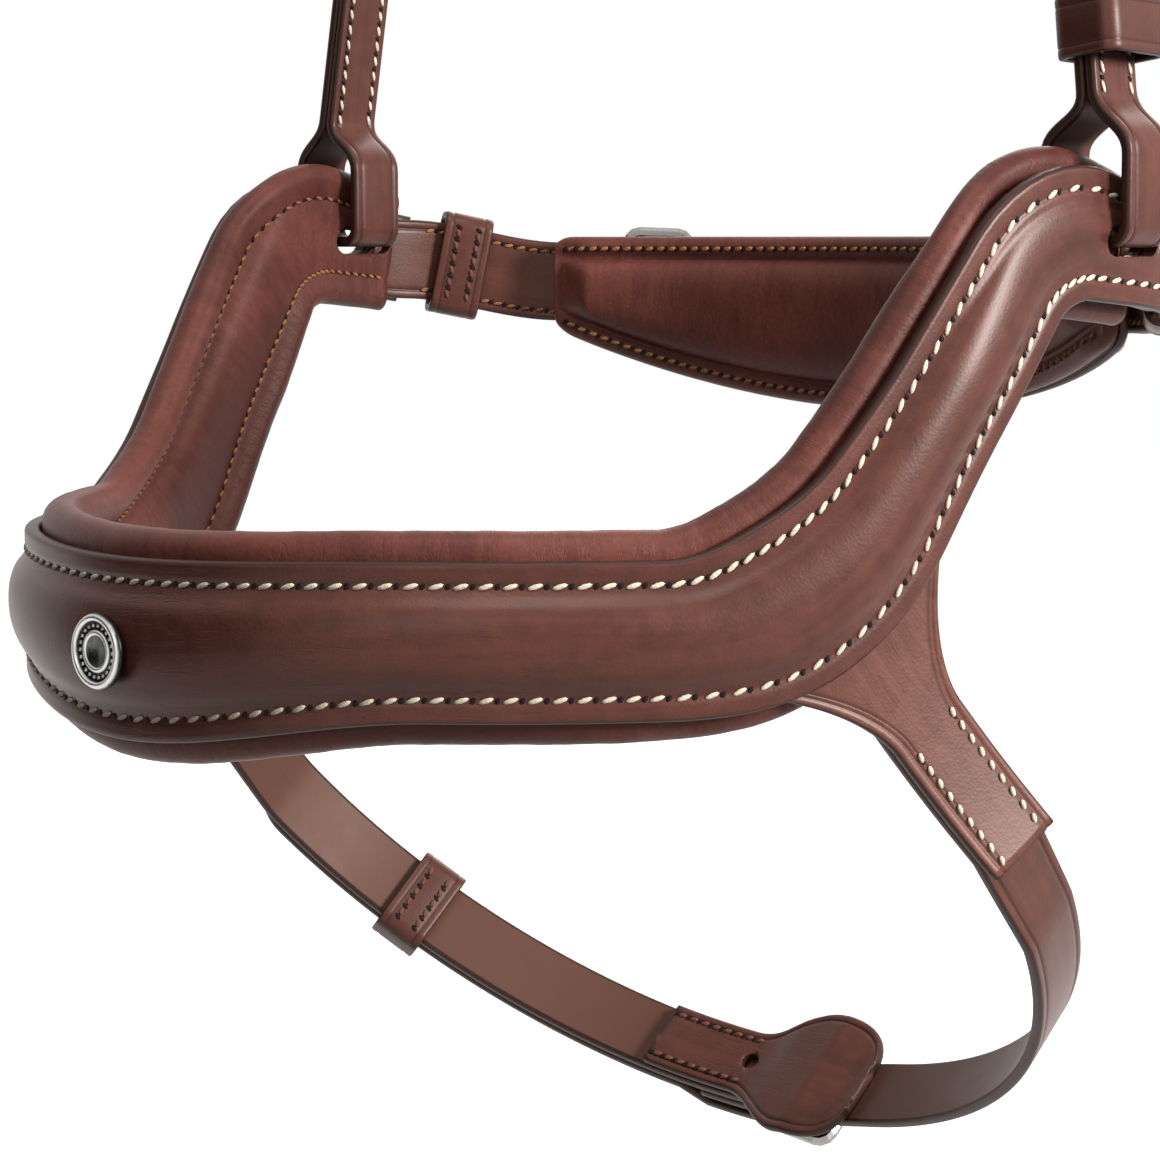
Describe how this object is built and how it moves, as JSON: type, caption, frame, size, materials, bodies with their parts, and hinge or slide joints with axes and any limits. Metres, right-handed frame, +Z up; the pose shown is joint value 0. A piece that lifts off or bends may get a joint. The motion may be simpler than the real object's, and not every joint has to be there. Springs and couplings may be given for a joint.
{
  "type": "y noseband bridle",
  "caption": "Leather Y noseband with padded nose band, stitched Y cheek leathers, chin strap with guarded buckle, padded jaw strap and its own head strap.",
  "frame": {"origin": "underside of the head strap at the middle of its flat stretch over the poll", "axes": "+Z up, -Y towards the horse's nose, +X towards the horse's left (near) side"},
  "size_m": [0.2264, 0.2174, 0.6063],
  "materials": {
    "outer_leather": "smooth dark brown bridle leather with a soft shine",
    "strap_leather": "smooth dark brown strap leather",
    "lining_leather": "soft fine-grained brown lining leather",
    "filler_leather": "raw leather, out of sight",
    "foam": "soft foam, out of sight",
    "badge_metal": "antique silver",
    "buckle_steel": "polished steel wire"
  },
  "bodies": {
    "head": {"head_strap": "strap_leather", "near_hanger": "strap_leather", "head_buckle_frame": "buckle_steel", "head_keeper_fixed": "strap_leather"},
    "noseband": {"noseband_outer": "outer_leather", "noseband_filler": "filler_leather", "noseband_foam": "foam", "noseband_lining": "lining_leather", "badge_cap": "badge_metal", "badge_post": "badge_metal", "y_piece_near": "outer_leather", "y_piece_far": "outer_leather", "chin_billet": "strap_leather", "chin_buckle_strap": "strap_leather", "chin_guard": "strap_leather", "chin_buckle_frame": "buckle_steel", "jaw_buckle_strap_near": "strap_leather", "jaw_buckle_strap_far": "strap_leather", "jaw_buckle_frame_near": "buckle_steel", "jaw_buckle_frame_far": "buckle_steel", "jaw_pad_backing": "strap_leather", "jaw_pad_foam": "foam", "jaw_pad_lining": "lining_leather", "jaw_pad_strap": "strap_leather"},
    "head_tongue": {"head_buckle_tongue": "buckle_steel"},
    "head_keeper": {"head_keeper_loose": "strap_leather"},
    "chin_tongue": {"chin_buckle_tongue": "buckle_steel"},
    "chin_keeper": {"chin_keeper": "strap_leather"},
    "jaw_tongue_near": {"jaw_buckle_tongue_near": "buckle_steel"},
    "jaw_tongue_far": {"jaw_buckle_tongue_far": "buckle_steel"},
    "jaw_keeper_near": {"jaw_keeper_near": "strap_leather"},
    "jaw_keeper_far": {"jaw_keeper_far": "strap_leather"}
  },
  "joints": [
    {"name": "noseband_swing", "type": "hinge", "parent": "head", "child": "noseband", "pos_m": [0, -0.017, -0.415], "axis": [1, 0, 0], "range_deg": [-6, 6]},
    {"name": "head_tongue_turn", "type": "hinge", "parent": "head", "child": "head_tongue", "pos_m": [0.093, -0.01363, -0.311], "axis": [0, 0.999, -0.0438], "range_deg": [0, 8]},
    {"name": "head_keeper_slide", "type": "slide", "parent": "head", "child": "head_keeper", "axis": [-0.1304, 0.0434, 0.9905], "range_m": [-0.003, 0.025]},
    {"name": "chin_tongue_turn", "type": "hinge", "parent": "noseband", "child": "chin_tongue", "pos_m": [0.003, 0.01541, -0.59405], "axis": [0.0001, 0.7548, 0.656], "range_deg": [0, 8]},
    {"name": "chin_keeper_slide", "type": "slide", "parent": "noseband", "child": "chin_keeper", "axis": [-0.6213, -0.5141, 0.5913], "range_m": [-0.0025, 0.0025]},
    {"name": "jaw_tongue_near_turn", "type": "hinge", "parent": "noseband", "child": "jaw_tongue_near", "pos_m": [0.06804, 0.03679, -0.4243], "axis": [0.0329, -0.0171, -0.9993], "range_deg": [0, 8]},
    {"name": "jaw_tongue_far_turn", "type": "hinge", "parent": "noseband", "child": "jaw_tongue_far", "pos_m": [-0.06804, 0.03679, -0.4243], "axis": [0.0329, 0.0171, 0.9993], "range_deg": [0, 8]},
    {"name": "jaw_keeper_near_slide", "type": "slide", "parent": "noseband", "child": "jaw_keeper_near", "axis": [-0.5673, 0.8001, -0.1949], "range_m": [0, 0.003]},
    {"name": "jaw_keeper_far_slide", "type": "slide", "parent": "noseband", "child": "jaw_keeper_far", "axis": [0.5673, 0.8001, -0.1949], "range_m": [0, 0.003]}
  ]
}
